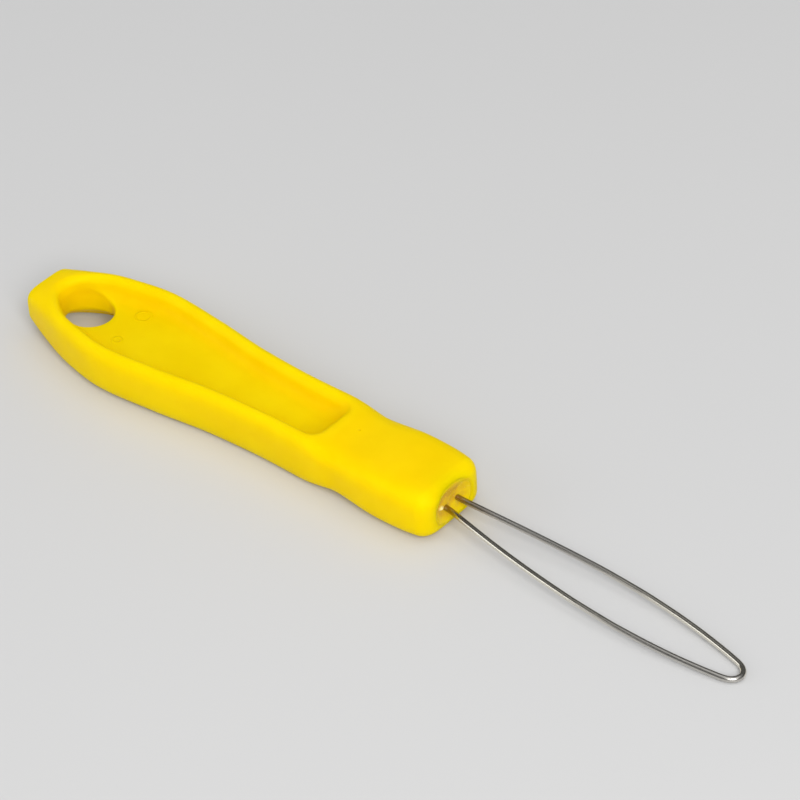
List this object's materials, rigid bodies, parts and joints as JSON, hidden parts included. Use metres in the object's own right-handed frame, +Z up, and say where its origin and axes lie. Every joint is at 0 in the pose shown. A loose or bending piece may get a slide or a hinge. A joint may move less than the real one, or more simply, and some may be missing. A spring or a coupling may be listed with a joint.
{
  "type": "needle threader",
  "caption": "Hand-held needle threader: moulded plastic handle with finger recesses and a hanging hole, and a sprung leaf-shaped steel wire loop glued into its nose.",
  "frame": {"origin": "on the resting surface, under the middle of the overall box", "axes": "+X from the handle's tail to the loop's tip, +Y across the handle, +Z up; the handle's broad faces look along +Z and -Z"},
  "size_m": [0.1059, 0.015, 0.0068],
  "materials": {
    "yellow_plastic": "satin moulded",
    "spring_steel": "bright drawn wire",
    "amber_resin": "glossy, translucent, with bubbles"
  },
  "bodies": {
    "handle": {"handle": "yellow_plastic", "adhesive_plug": "amber_resin"},
    "loop": {"wire_loop": "spring_steel"}
  },
  "joints": [
    {"name": "loop_flex", "type": "hinge", "parent": "handle", "child": "loop", "pos_m": [0.01804, -0.00015, 0.00245], "axis": [0, -1, 0], "range_deg": [-10, 10], "stiffness_Nm_per_rad": 0.01, "deforming": ["wire_loop"]}
  ]
}
